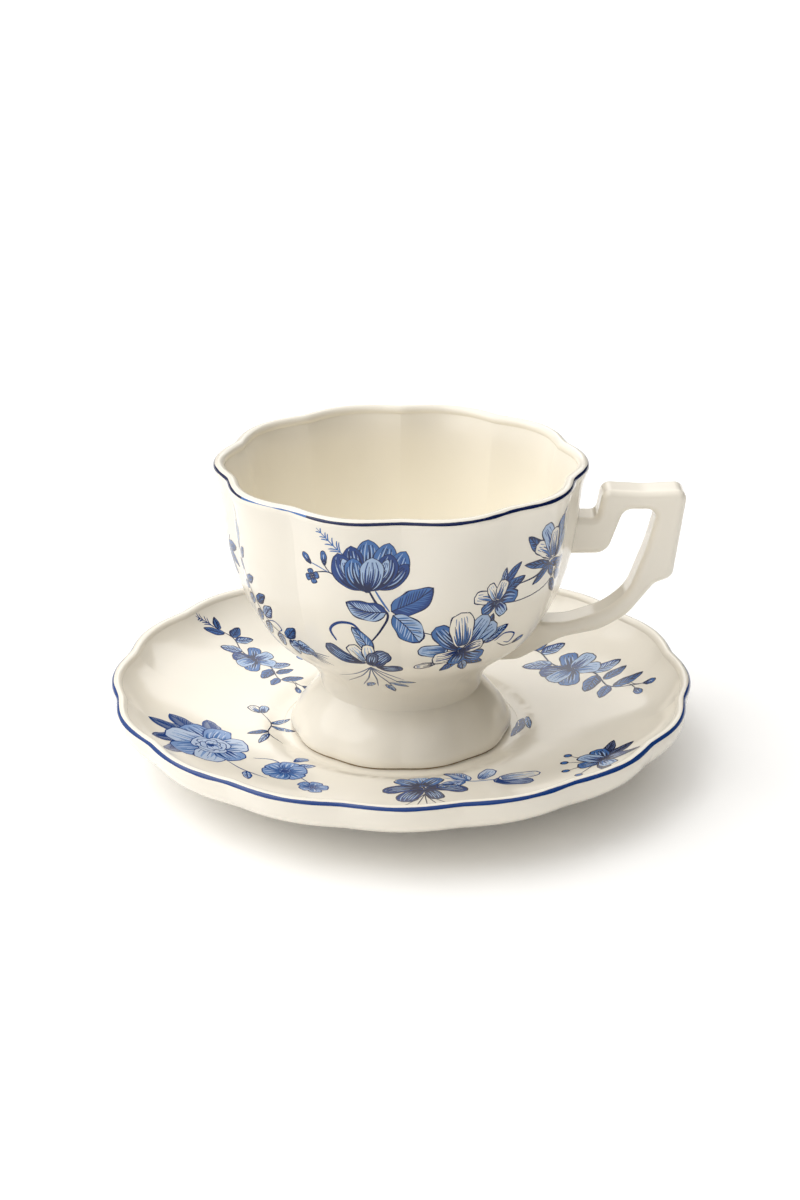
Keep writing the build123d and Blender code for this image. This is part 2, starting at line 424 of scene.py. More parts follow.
class Spray:
    """The shapes of one spray of the print, painted one over another. A shape in no tone is left bare."""

    def __init__(self):
        self.shapes = []

    def ribbon(self, line, widths, tone):
        """Fill between the two sides of a line."""
        left = sides(line)
        outline = [p - s * w / 2 for p, s, w in zip(line, left, widths)]
        outline += [p + s * w / 2 for p, s, w in zip(line[::-1], left[::-1], widths[::-1])]
        self.shapes.append((outline, tone))

    def brush(self, points, width, tone="navy", start=0.35, end=0.2):
        """A stroke that swells in the middle and thins to its ends."""
        line = flow(points)
        last = len(line) - 1
        widths = []
        for i in range(last + 1):
            t = i / last
            low = start + (end - start) * t
            widths.append(width * (low + (1 - low) * sin(pi * t) ** 0.6 if 0 < t < 1 else low))
        self.ribbon(line, widths, tone)

    def dot(self, centre, radius, tone="navy"):
        """A small round spot."""
        self.shapes.append(([centre + radius * turn_by(1j * k * tau / 10) for k in range(10)], tone))

    def blade(self, line, width, belly, point, tone, left=1.0, wave=0.0):
        """A leaf or petal shape along a line. left scales its left half, and wave ripples its edge."""
        last = len(line) - 1
        side = sides(line)
        low, high = [], []
        for i in range(last + 1):
            t = i / last
            half = width / 2 * swell(t, belly, point)
            low.append(line[i] - side[i] * half * (1 + wave * sin(11 * t + width)))
            high.append(line[i] + side[i] * half * left * (1 + wave * sin(13 * t + 2 * width)))
        self.shapes.append(([*low, *high[::-1]], tone))

    def petal(self, base, tip, width, bend, fill, shade, lines, belly=0.62, point=0.8, ink=0.3):
        """A petal with a navy edge and a fill. Wedges of shade and thin engraved lines fan from its base."""
        middle = (base + tip) / 2 + 1j * (tip - base) / abs(tip - base) * bend
        self.blade(flow([base, middle, tip], 8), width, belly, point, "navy", wave=0.05)
        along = (tip - base) / abs(tip - base)
        inner = flow([base + along * ink, middle, tip - along * ink], 8)
        self.blade(inner, width - 2 * ink, belly, point, fill, wave=0.05)
        side, last = sides(inner), len(inner) - 1
        for tone, share in ((shade, 0.95), ("navy", 0.0)):
            count = lines if share else lines + 2
            for k in range(count):
                across = ((k + 0.5) / count * 2 - 1) * 0.88
                far = 0.56 + 0.26 * sin(2.4 * k + abs(base) * 3) - 0.12 * abs(across)
                far = min(0.92, far + 0.16) if share else far
                spine, widths = [], []
                for i in range(1, last):
                    t = i / last
                    half = (width / 2 - ink) * swell(t, belly, point)
                    if 0.05 < t < far:
                        spine.append(inner[i] + side[i] * across * half)
                        fade = 1 - (t / far) ** 2
                        wedge = max(0.12, 2 * half / count * share * fade)
                        widths.append(wedge if share else 0.1 + 0.14 * fade)
                if tone and len(spine) > 3:
                    self.ribbon(spine, widths, tone)
        # thin light lines between the dark ones, where the engraving leaves the glaze bare
        if fill in ("cobalt", "blue", "slate"):
            for k in range(1, lines):
                across = (k / lines * 2 - 1) * 0.86
                start, far = 0.34 + 0.1 * sin(3.7 * k), 0.86 - 0.1 * sin(2.9 * k)
                spine, widths = [], []
                for i in range(1, last):
                    t = i / last
                    if start < t < far:
                        spine.append(inner[i] + side[i] * across * (width / 2 - ink) * swell(t, belly, point))
                        widths.append(0.08 + 0.2 * sin(pi * (t - start) / (far - start)))
                if len(spine) > 3:
                    self.ribbon(spine, widths, "wash")
        # short strokes that run in from the tip, as where a petal turns over
        for k in range(3):
            across = (k - 1) * 0.5
            strokes = []
            for i in range(last - 5, last - 1):
                half = (width / 2 - ink) * swell(i / last, belly, point)
                strokes.append(inner[i] + side[i] * across * half)
            self.ribbon(strokes, [0.1, 0.14, 0.2, 0.2], shade or "blue")

    def leaf(self, base, tip, width, light, dark, veins, bend=0.0, belly=0.42, point=1.25, ink=0.26):
        """A leaf with one half dark and one half light, a midrib, and slanting veins."""
        middle = (base + tip) / 2 + 1j * (tip - base) / abs(tip - base) * bend
        self.blade(flow([base, middle, tip], 8), width, belly, point, "navy", wave=0.07)
        along = (tip - base) / abs(tip - base)
        inner = flow([base + along * ink, middle, tip - along * ink * 2], 8)
        self.blade(inner, width - 2 * ink, belly, point, light, wave=0.07)
        self.blade(inner, width - 2 * ink, belly, point, dark, left=0.0, wave=0.07)
        side, last = sides(inner), len(inner) - 1
        for k in range(2 * veins):
            t = 0.12 + 0.66 * k / (2 * veins)
            root, reach = round(t * last), min(last - 1, round((t + 0.22) * last))
            half = (width / 2 - ink) * swell(reach / last, belly, point)
            lit = k % 2 == 0
            far, near = inner[reach] + side[reach] * half * 0.9, inner[reach] - side[reach] * half * 0.8
            self.brush([inner[root], far], 0.42 if lit else 0.24, dark if lit else "navy", 1.0, 0.1)
            self.brush([inner[root], near], 0.34 if lit else 0.2, light, 0.9, 0.2)
        self.brush([base, middle, tip], 0.3, "navy", 0.9, 0.3)

    def petals(self, *rows):
        """Petals one over another: base, tip, width, bend, fill, shade, lines."""
        for row in rows:
            self.petal(*row)

    def leaves(self, *rows):
        """Leaves one over another: base, tip, width, light half, dark half, veins."""
        for row in rows:
            self.leaf(*row)

    def bud(self, base, tip, width, fill="blue", bare=False):
        """A closed bud with two sepals."""
        self.petal(base, tip, width, 0, fill, None if bare else "cobalt", 2, belly=0.5, point=0.9, ink=0.26)
        along = (tip - base) / abs(tip - base)
        for turn in (0.7, -0.7):
            tip = base + along * turn_by(1j * turn) * width * 0.55
            self.brush([base - along * 0.4, tip], 0.5, "navy", 0.8, 0.2)

    def fern(self, points, length, count, tone="blue"):
        """A thin stem with short strokes on both sides that shorten to the tip."""
        self.brush(points, 0.3, tone, 0.9, 0.5)
        line = flow(points)
        side, last = sides(line), len(line) - 1
        for k in range(count):
            at = round((0.15 + 0.8 * k / count) * last)
            reach = length * (1 - 0.55 * k / count)
            ahead = -1j * side[at]
            for way in (1, -1):
                end = line[at] + (ahead * 0.8 + way * side[at] * 0.75) * reach
                self.brush([line[at], (line[at] + end) / 2 + ahead * 0.1 * reach, end], 0.34, tone, 0.7, 0.3)

    def bloom(self, centre, radius, petals, lean=0.0, fill="wash", shade="blue", lines=4, squash=1.0):
        """An open flower seen from the front, with a dotted eye."""
        for k in range(petals):
            way = turn_by(1j * (lean + k * tau / petals))
            way = complex(way.real, way.imag * squash)
            reach = radius * (1 + 0.12 * sin(3.1 * k + lean))
            base, tip = centre + way * radius * 0.12, centre + way * reach
            self.petal(base, tip, radius * 0.92, 0, fill, shade, lines)
        self.dot(centre, radius * 0.16)
        for k in range(5):
            self.dot(centre + turn_by(1j * (k * tau / 5 + 0.4)) * radius * 0.26, radius * 0.055)


def tulip_spray():
    """The main flower of the cup, with its fern, its small buds and its three leaves."""
    s = Spray()
    # fern and small buds to the left
    s.fern([-7+15.4j, -10.6+18.6j, -14.4+22.4j], 2.6, 6)
    s.brush([-8.5+9j, -11.5+10.6j, -15.4+9.8j], 0.36)
    s.brush([-11+10.4j, -12.4+12j, -12.8+13.6j], 0.3)
    s.brush([-11.5+10.6j, -14.6+11.6j, -17.2+12.2j], 0.28, "blue")
    s.bud(-12.6+12.6j, -12.9+16.2j, 1.9)
    s.bud(-16.9+12j, -19.4+14.2j, 2)
    s.bloom(-16.4+8.4j, 2.2, 4, 0.4, fill="blue", shade="cobalt", lines=1)
    # stems
    s.brush([-1.8+7j, 0.2+2.8j, 2.8-0.6j, 1-5j, -1.8-9.2j], 0.62, "navy", 0.7, 0.5)
    s.brush([0+6.4j, 1.6+3.2j, 3.2+0.4j], 0.5, "blue", 0.7, 0.5)
    # leaves
    s.leaves(
        (2.6+0.2j, -7.4+3j, 5.8, "wash", "cobalt", 5, 1),
        (3.6+0.4j, 14.2+7.4j, 6.6, "blue", "cobalt", 5, -0.8),
        (4-0.6j, 10.4-9.2j, 7, "wash", "blue", 4, 0.5, 0.55),
    )
    # petals, from the back to the front
    for row in [
        (-1.8+9j, -1.4+20.6j, 6.4, 0, "blue", "navy", 6), (-1+8.4j, 3.6+19.4j, 5.8, -0.6, "blue", "navy", 6),
        (-3+8.2j, -5.6+18.6j, 5.4, 0.6, "cobalt", "navy", 5),
        (-1.2+7.4j, 7.6+17j, 5.8, -1.5, "blue", "cobalt", 6),
        (-0.8+7j, 8.2+13.6j, 4.2, -1.4, "cobalt", "navy", 4),
        (-2.8+6.6j, -9+16.2j, 6.4, 1.3, "cobalt", "navy", 5),
        (-3.4+8j, -7.8+15j, 3, 0.7, "wash", "cobalt", 3),
        (-1.4+6.4j, 3.8+16.4j, 6.2, -1, "cobalt", "navy", 6),
        (-0.4+8.4j, 3.2+15j, 2.6, -0.5, "wash", "cobalt", 3),
        (-2.6+6.2j, -5.2+15.4j, 5.2, 0.9, "blue", "navy", 6),
        (-1.8+6j, -0.6+15.6j, 6, -0.4, "wash", "cobalt", 8),
    ]:
        s.petal(*row, 0.56, 1.45, 0.22)
    for turn in (-0.9, -0.3, 0.3, 0.9):
        s.brush([-2+6j, -2+6.2j + turn_by(1j * (pi / 2 - turn)) * 2.6], 0.6, "navy", 0.9, 0.2)
    return s


def shaded_spray():
    """The grey flower under the main one: a curled tendril, a long pointed petal and feathery lines."""
    s = Spray()
    s.brush([-6.2+5.2j, -7.6+8.6j, -5.2+11.2j, -1.6+11.4j, 0.6+9j], 0.8, "cobalt", 0.5, 0.3)
    s.leaf(2.4+1.4j, -1.8+10.6j, 3.8, "wash", "blue", 3, -0.6)
    # feathery lines that run under the bowl
    # the slate of the feathery lines and lower petals is partly painted reflection over the print
    for reach, lean in [(15, 3.9), (17, 4.15), (16, 4.4), (15, 4.65), (16, 4.9), (13, 5.15), (11, 5.4)]:
        way = turn_by(1j * lean)
        s.brush([1.5-4j, 1.5-4j + way * reach * 0.5 + 0.5, 1.5-4j + way * reach], 0.42, "slate", 0.6, 0.2)
    for base, tip in [(4-15j, 8.5-19j), (3-17j, 4.5-22j), (6-14j, 11-15.5j), (0-16j, -2.5-20j)]:
        s.leaf(base, tip, 2, "wash", "blue", 1)
    s.petals(
        (0.6-2.4j, -9.6+3.4j, 4.4, 1.2, "slate", "navy", 5, 0.62, 1.2),
        (1-2j, -3+4.4j, 4, 0, None, "wash", 3), (1.8-2.2j, 1.6+5j, 3.6, 0, None, "wash", 3),
        (2.6-3.4j, 9.6-4.4j, 3, -0.8, "slate", "navy", 4, 0.62, 1.2),
        (2-3.6j, 6.6+2j, 5.2, 0.6, "slate", "cobalt", 7, 0.55), (1.4-3.4j, 3+2j, 3.2, 0, "slate", "navy", 4),
    )
    return s


def rambling_spray():
    """The cluster by the handle: a wide open flower, buds and leaves, with a smaller flower above it."""
    s = Spray()
    s.brush([-13.6+3.8j, -10+2.6j, -6-0.2j], 0.3)
    # leaves and small flowers behind
    s.leaves(
        (3.6-4j, 6.4+6.4j, 3.8, "blue", "navy", 3), (5-3j, 12+1.4j, 3.4, "wash", "cobalt", 3),
        (-1-7j, 6.8-11.4j, 3.2, "blue", "navy", 3), (-2-7.6j, -5.4-12j, 2.8, "blue", "cobalt", 2),
        (-0.6-8j, 1.6-13.4j, 2.6, "wash", "cobalt", 2),
    )
    s.bud(-7.6-8j, -12.6-9.4j, 2.6, bare=True, fill=None)
    s.petal(-5.2-3.2j, -13-2.6j, 4.4, 0, "wash", "blue", 4, 0.5)
    s.brush([8.6-3.6j, 11.4-1.6j, 14.6-2.6j, 13.6-5.4j, 11.6-4.8j], 0.5, "cobalt")
    s.brush([9.6-4.6j, 12.6-6.6j, 16.6-6.4j], 0.36)
    s.bud(15.4-6.4j, 18.8-5j, 1.8)
    # stem up to the flower above
    s.brush([2.6+1j, 4.4+7j, 7.6+12j, 11+16j], 0.5)
    s.brush([8+8.6j, 14.5+8.2j, 24+10.5j, 31+17j], 0.32, "navy", 0.8, 0.5)
    for base, tip in [(25+11j, 30+5.6j), (27+12.4j, 33.6+9j), (28+13.4j, 34.6+14.6j)]:
        s.leaf(base, tip, 3, "blue", "navy", 2)
    s.leaves(
        (7.4+11j, 15.4+15.2j, 3.4, "blue", "navy", 3), (8.2+13j, 14+19.4j, 2.4, "blue", "cobalt", 2),
        (8.2+13j, 9.6+18.6j, 2.2, "wash", "cobalt", 2),
    )
    s.petals(
        (6.8+9.6j, -0.6+12.6j, 4.2, -0.6, None, "blue", 4), (6.8+9.8j, 4+15.4j, 3.2, 0, None, "wash", 2),
        (7+9.4j, 13.6+9.6j, 4.2, 0.8, "blue", "navy", 3), (6.8+9.4j, 2.2+7.4j, 3.8, 0, "blue", "navy", 3),
        (7+9.2j, 10+5j, 3.6, 0, "wash", "cobalt", 3), (7+9.6j, 9.4+15.4j, 4, 0, None, "blue", 4),
    )
    s.dot(7+9.4j, 0.7)
    # the open flower
    s.petals(
        (-1.2-3.6j, 8.4+2.6j, 6, 0.6, "wash", "cobalt", 6),
        (-1-3.4j, 4.6+6.6j, 5.8, 0.5, "wash", "cobalt", 6),
        (-1.6-3.2j, -9.6+5.2j, 5.2, 0.4, "blue", "navy", 6), (-1.4-3j, -3.6+9j, 6.8, 0, None, "blue", 7),
        (-1.4-4.2j, 5.8-8j, 5, -0.6, "blue", "navy", 4), (-1.6-4j, -8.8-6.2j, 4.8, 0.6, None, "cobalt", 5),
        (-1.6-4.2j, -2.6-9.4j, 4.4, 0, "blue", "navy", 4), (-1.4-3.6j, 4.8-2.6j, 4.2, 0, None, "cobalt", 5),
    )
    s.dot(-1.4-3.8j, 1)
    for k in range(6):
        s.dot(-1.4-3.8j + turn_by(1j * (k * tau / 6 + 0.2)) * 1.7, 0.28)
    return s


def lily_spray():
    """A small flower on a stem, with three narrow leaves and a spiky bud."""
    s = Spray()
    s.brush([-11-8j, -4-6.2j, 2+0j], 0.55)
    for tip in (-10-3j, -6.4-9.4j, 1.6-9.2j, 7.6-6.8j):
        s.leaf(-0.8-4.6j, tip, 2.5, "blue", "navy", 2)
    s.leaf(-3.4-1.4j, -9.6+4.6j, 3.4, "blue", "navy", 3)
    s.petals(
        (0.4-3.4j, -7+1.6j, 4.4, -0.5, None, "blue", 4), (0.6-3.4j, 8.8+1j, 4.4, 0.5, "wash", "cobalt", 5),
        (0.4-3.2j, -4.4+6.6j, 4.8, -0.6, "wash", "cobalt", 4),
        (0.6-3.4j, 6+6.4j, 5.2, 0.6, "blue", "navy", 5), (0.4-3.8j, 0.6+4.8j, 4.6, 0, None, "blue", 5),
    )
    s.fern([3.6+5.2j, 5.8+6.8j, 7+8.2j], 1.7, 4, "blue")
    return s


def trailing_spray():
    """Small leaves, loops and a spotted sprig that trail round the side of the cup."""
    s = Spray()
    s.brush([-6+15j, -3.4+7j, 0j, 5.4-6.6j, 12.6-9.8j], 0.42, "navy", 0.6, 0.4)
    for at, tip in [
        (-5.6+14j, -9.4+18j), (-5+12j, -1.6+15.6j), (-4.2+9j, -8.6+10j), (-3+6j, 1.8+8.6j),
    ]:
        s.leaf(at, tip, 2.6, "blue", "navy", 2)
    s.bloom(-7.2+18.4j, 3, 5, 0.3, fill="wash", shade="blue", lines=2)
    s.fern([-6.6+21.4j, -7.2+23.8j, -6.6+26.4j], 1.7, 5)
    s.leaves(
        (-1+2j, -6.4-1.4j, 3.2, "wash", "cobalt", 3), (2-3j, 6.6+1.4j, 3.4, "wash", "cobalt", 3),
    )
    for base, tip, width in [
        (1-1.6j, -3.8-6.4j, 3), (3-4.4j, -0.6-9.8j, 3), (6-7j, 3.6-12.8j, 2.8), (9-8.4j, 8.4-14.4j, 2.8),
        (8-8j, 12.6-3.4j, 3), (0.2+0.8j, 5.4+4.6j, 2.8), (-2.6+5j, -7.6+3j, 2.6),
    ]:
        s.leaf(base, tip, width, "wash" if tip.imag < -7 else "blue", "navy", 2)
    s.brush([3-4j, 6-3.4j, 7.4-5.4j, 5.6-6.8j], 0.4, "cobalt")
    s.bloom(11.4-10.6j, 3.8, 5, 1, fill="wash", shade="cobalt", lines=2, squash=0.7)
    for k in range(6):
        way = turn_by(1j * (5.2 + 0.22 * k))
        s.brush([13-11j, 13-11j + way * (5 + k % 3)], 0.36, "slate", 0.7, 0.2)
    return s


def rose_spray():
    """A full rose lying on its side, with grey leaves towards the rim and a thin tendril."""
    s = Spray()
    # the slate leaves are partly painted reflection over the print
    for base, tip, width in [
        (-6+2j, -14.4+7j, 5.2), (-5+4j, -9.6+12.6j, 4.8), (-2+6j, 0.6+13.4j, 4.8),
        (3+6j, 8.6+11.8j, 4.4), (-6-2j, -13.6-1.6j, 4.4),
    ]:
        s.leaf(base, tip, width, "slate", "navy", 5)
    s.brush([9-2j, 14-4.6j, 19-9j], 0.34)
    s.leaf(15-5.2j, 20.4-4.6j, 2.2, "wash", "cobalt", 2)
    s.petals(
        (-1+0j, -9.6+4.4j, 7.6, 0.8, "blue", "navy", 6), (0j, -4.6+9.6j, 8.4, 0, "wash", "blue", 6),
        (1+0j, 6+9j, 8.4, 0, "blue", "cobalt", 6), (1-1j, 10.4+3j, 7.4, 0, "wash", "blue", 6),
        (0-1j, -8.6-4.2j, 6.6, -0.6, "blue", "cobalt", 5), (1-1j, 8.6-5j, 6.8, 0, "blue", "navy", 5),
        (0.4-1j, 0-8.6j, 7.6, 0, "wash", "cobalt", 6),
    )
    for k, size in enumerate((6.4, 5, 3.6)):
        for j in range(3):
            way = turn_by(1j * (0.8 * k + j * tau / 3))
            base, tip = 0.4 - way * size * 0.2, 0.4 + way * size * 0.72
            s.petal(base, tip, size, 0, "wash", "blue", 3, ink=0.24)
    s.dot(0.4+0j, 0.8)
    return s


def pair_spray():
    """Two small five-petalled flowers on one stem."""
    s = Spray()
    s.brush([-12+0j, -8-2.4j, -3-1j, 3+1.6j, 8+3.6j], 0.36)
    s.leaf(-1.6-2j, 1.6-6.6j, 2.6, "wash", "cobalt", 2)
    s.bloom(-2+1j, 5.4, 6, 0.2, fill="blue", shade="cobalt", lines=3)
    s.bloom(8.6+4.6j, 3.6, 5, 0.7, fill="blue", shade="cobalt", lines=2)
    s.bud(-3.4-5j, -3-9.4j, 2.6)
    return s


def iris_spray():
    """A dark flower with two long hanging petals and hanging stamens."""
    s = Spray()
    s.brush([0-6j, 1-2j, 1.6+1j], 0.6)
    s.petals(
        (1-1j, 0.6-8j, 5.6, 0, "wash", "blue", 5), (1-1j, -5.4-6.4j, 4.4, 0, "blue", "navy", 4),
        (1-1j, 6.2-6.4j, 4.4, 0, "blue", "navy", 4),
        (1.4+0j, -9.4+1.6j, 4.8, 1.2, "cobalt", "navy", 5, 0.62, 1.2),
        (1.4+0j, 12+3.4j, 4.8, -1.6, "cobalt", "navy", 6, 0.62, 1.2),
        (1+0j, -5+9.6j, 5.8, 0.8, "cobalt", "navy", 7, 0.62, 1.1),
        (1.4+0j, 4+8.4j, 4.4, -0.6, "slate", "navy", 6, 0.62, 1.1),
    )
    for k in range(5):
        way = turn_by(1j * (1.2 + 0.2 * k))
        s.brush([1+4j, 1 + way * 13], 0.3, "navy", 0.8, 0.6)
        s.dot(1 + way * 13.2, 0.36)
    return s


def bramble_spray():
    """A long sprig: a dark flower in the middle, paired leaves, and buds on thin stalks at its end."""
    s = Spray()
    s.brush([-22+6j, -14+1j, -5+2.6j, 6-0.6j, 15+2j, 22-1.6j], 0.44, "navy", 0.5, 0.5)
    for row in [
        (-14+1.2j, -17.6-4.6j, 3.8, "blue", "navy"), (-12+1.2j, -10.4-5.6j, 4, "wash", "cobalt"),
        (-16.6+2.4j, -20+9.4j, 3.2, "blue", "cobalt"), (-6+2.4j, -11+8.6j, 4.4, "wash", "cobalt"),
        (-18.6+3.6j, -23.6+2j, 2.8, "blue", "navy"), (11+0.4j, 12-6.6j, 3.4, "blue", "navy"),
        (6-0.6j, 8.4-8j, 4.2, "wash", "cobalt"), (8-0.2j, 11.6+7j, 4.4, "blue", "navy"),
        (14.4+1.8j, 17.4+7.2j, 3.4, "blue", "cobalt"), (16+1.8j, 19-5.8j, 3.6, "blue", "navy"),
    ]:
        s.leaf(*row, 3)
    s.petals(
        (0+1.4j, -6.4-3j, 5, 0, "blue", "navy", 4), (0+1.4j, 6-3.6j, 5, 0, "wash", "blue", 4),
        (0+1.4j, -0.4-6.4j, 5, 0, "wash", "cobalt", 4), (0+1.4j, -5.4+7.6j, 5.6, 0, "cobalt", "navy", 5),
        (0+1.4j, 5.6+7.4j, 5.6, 0, "blue", "navy", 5), (0+1.4j, 0+9j, 5.2, 0, "wash", "blue", 5),
    )
    s.dot(0+1.6j, 1)
    s.fern([-20+4.8j, -22.4+7j, -23.6+10j], 2.4, 4, "cobalt")
    for base, tip in [(21.4-1.4j, 25.4-4j), (20.6-0.6j, 25.8+1.4j)]:
        s.brush([base - 2, base, tip], 0.28)
        s.bud(base + (tip - base) * 0.4, tip, 2.2)
    return s


def berry_spray():
    """Berries on thin stalks over a tight dark flower with pointed grey leaves."""
    s = Spray()
    for tip in (-9+1.6j, -6.6-3j, -2-6j, 2-7.4j):
        s.brush([0+2j, tip * 0.5+1j, tip], 0.28)
        s.dot(tip, 1)
        s.dot(tip, 0.66, "blue")
    # the slate leaves are partly painted reflection over the print
    for tip, width in [(11.6-1j, 3), (10.6+4.6j, 3.2), (6+9j, 3), (-7+7.4j, 3.4)]:
        s.leaf(1+2j, tip, width, "slate", "navy", 4)
    s.petals(
        (0+3j, 6.4-2.4j, 4.4, 0, "blue", "navy", 4), (0+3j, -4-1.6j, 4.4, 0, "blue", "navy", 4),
        (0+3.6j, 2-4.4j, 4.4, 0, "wash", "cobalt", 4), (0+2.4j, 4.6+6j, 4.4, 0, "cobalt", "navy", 4),
        (0+2.6j, -3.4+6.6j, 4.2, 0, "wash", "blue", 4),
    )
    s.dot(0.6+2.2j, 0.9)
    return s


def sprig_spray():
    """A thin sprig of a half-open bud with long narrow leaves."""
    s = Spray()
    s.brush([-9+1j, -3-1j, 3+0.4j, 8.6-2.6j], 0.3)
    s.leaves(
        (-3-1j, -6.6-6.4j, 1.9, "wash", "blue", 2), (-1.6-0.8j, 1-6.8j, 1.9, "wash", "blue", 2),
        (2+0.2j, 3.6+6j, 2.2, "blue", "navy", 2), (3.4+0.4j, 9.4+3.6j, 2, "wash", "cobalt", 2),
    )
    s.petals(
        (-8.4+0.8j, -12.8+3.4j, 3, 0, None, "blue", 3), (-8.4+0.6j, -12.6-0.6j, 2.6, 0, "wash", "cobalt", 3),
    )
    return s


def stray_leaves():
    """The tips of two leaves that show beside the foot."""
    s = Spray()
    s.leaves(
        (6.4+1.4j, -5-0.8j, 2.8, "cobalt", "navy", 3, -0.6), (7+2.4j, -1+4j, 1.8, "wash", "blue", 2),
    )
    return s


def windblown_spray():
    """Two long pale buds side by side with a striped leaf."""
    s = Spray()
    s.brush([-12-1j, -6+1j, 0+0.4j, 6+1.6j], 0.34, "cobalt")
    s.leaves(
        (-7+0.8j, -13.6+4.4j, 3.4, "wash", "cobalt", 4), (-6+0.6j, -12-5j, 3.6, "wash", "cobalt", 4),
    )
    # the slate petal is partly painted reflection over the print
    s.petals(
        (-1+0.6j, 8+3j, 4.6, 0, "slate", "navy", 5, 0.5), (0j, 9.6-2.2j, 4, 0, None, "wash", 4, 0.5),
        (-4+0.2j, -1-5.4j, 3.4, 0, "wash", "blue", 3),
    )
    return s


# ---------------------------------------------------------------- operators


class TEACUP_OT_glaze_ware(Operator):
    """Glaze the saucer and the three parts of the cup in ivory, and leave their shapes as they are"""

    bl_idname = "teacup.glaze_ware"
    bl_label = "Glaze the ware"

    def execute(self, context):
        settings = context.scene.teacup_glaze
        for name, nodes in (("ware", ["saucer", "cup_foot", "cup_handle"]), ("bowl", ["cup_bowl"])):
            # the bowl's glaze also carries the painted warm bounce light inside it
            glaze = ivory_glaze(f"ivory_glaze_{name}", settings, painted_bounce=name == "bowl")
            for node in nodes:
                NODES[node].data.materials.clear()
                NODES[node].data.materials.append(glaze)
        return {"FINISHED"}


class TEACUP_OT_paint_rims(Operator):
    """Brush a cobalt line along the lip of the cup and of the saucer"""

    bl_idname = "teacup.paint_rims"
    bl_label = "Paint the rim lines"

    def execute(self, context):
        glaze, cobalt = context.scene.teacup_glaze, context.scene.teacup_print
        line = cobalt_under_glaze("brushed_cobalt_line", cobalt.navy, glaze)
        blue_line = cobalt_under_glaze("brushed_blue_line", cobalt.cobalt, glaze)
        worn = cobalt_under_glaze("worn_cobalt_line", cobalt.blue, glaze)
        bowl, saucer = GlazedFace("cup_bowl"), GlazedFace("saucer")
        rims = context.scene.teacup_rims
        cup_lip = round_lip(bowl, BOWL_TOP, *CUP_LIP, rims.cup_from, rims.cup_to)
        saucer_lip = round_lip(saucer, SAUCER_TOP, *SAUCER_LIP, rims.saucer_from, rims.saucer_to)

        def left_front(angle):
            """Worn at 42 degrees to the left of the front, and fading over 20 degrees on either side."""
            return max(0.0, 1.5 - abs((angle - radians(318)) / radians(13)))

        paint_band("cup_rim_line", bowl, cup_lip, "cup", [line, worn], left_front)
        paint_band("saucer_rim_line", saucer, saucer_lip, "saucer", [blue_line, worn])
        return {"FINISHED"}


class TEACUP_OT_wipe_and_shade_foot(Operator):
    """Wipe the glaze off the edge that the cup stands on, which leaves a band of the fired body bare and
    paints the contact shadow there
    """

    bl_idname = "teacup.wipe_foot"
    bl_label = "Wipe the foot"

    def execute(self, context):
        body = bare_body_and_contact_shade("biscuit_edge_and_contact_shade")
        foot = GlazedFace("cup_foot")
        middle, width = 0.34, 0.44  # of the bare band, in mm above the edge

        def edge(angle, share):
            z = FOOT_BOTTOM + (middle + width * share) * MM
            return around(angle, 0.1, z), Vector((0, 0, z))

        # the bare band's brown also paints the shadow where the foot meets the saucer
        paint_band("foot_bare_edge_and_contact_shade", foot, edge, "cup", [body, body], across=3)
        return {"FINISHED"}


def print_tones(context, strength="full"):
    """The five tones of the print. The worn print of the saucer is a step paler in every tone."""
    glaze, cobalt = context.scene.teacup_glaze, context.scene.teacup_print
    paler = {"navy": "cobalt", "cobalt": "blue"}
    made = {}
    for tone in ("navy", "cobalt", "blue", "wash", "slate"):
        ink = tone if strength == "full" else paler.get(tone, f"pale_{tone}")
        found = bpy.data.materials.get(f"cobalt_print_{ink}")
        made[tone] = found or cobalt_under_glaze(f"cobalt_print_{ink}", getattr(cobalt, ink), glaze)
    return made


class TEACUP_OT_print_cup(Operator):
    """Lay the flower sprays round the wall of the cup"""

    bl_idname = "teacup.print_cup"
    bl_label = "Print the cup"

    def execute(self, context):
        tones, bowl = print_tones(context), GlazedFace("cup_bowl")
        # name, drawing, degrees from the front, height in mm
        sprays = [
            ("tulip", tulip_spray, -8, 56),
            ("shaded", shaded_spray, -14, 42),
            ("rambling", rambling_spray, 24, 47),
            ("lily", lily_spray, 55, 67.5),
            ("trailing", trailing_spray, -58, 50),
            ("back_tulip", tulip_spray, -150, 56),
            ("back_shaded", shaded_spray, -156, 42),
            ("back_rambling", rambling_spray, -118, 47),
            ("back_trailing", trailing_spray, 160, 50),
            ("back_lily", lily_spray, 122, 65),
        ]
        for name, drawing, angle, height in sprays:
            place = on_wall(bowl, radians(angle), height * MM)
            lay_print(f"print_cup_{name}", drawing(), place, "cup", tones)
        return {"FINISHED"}


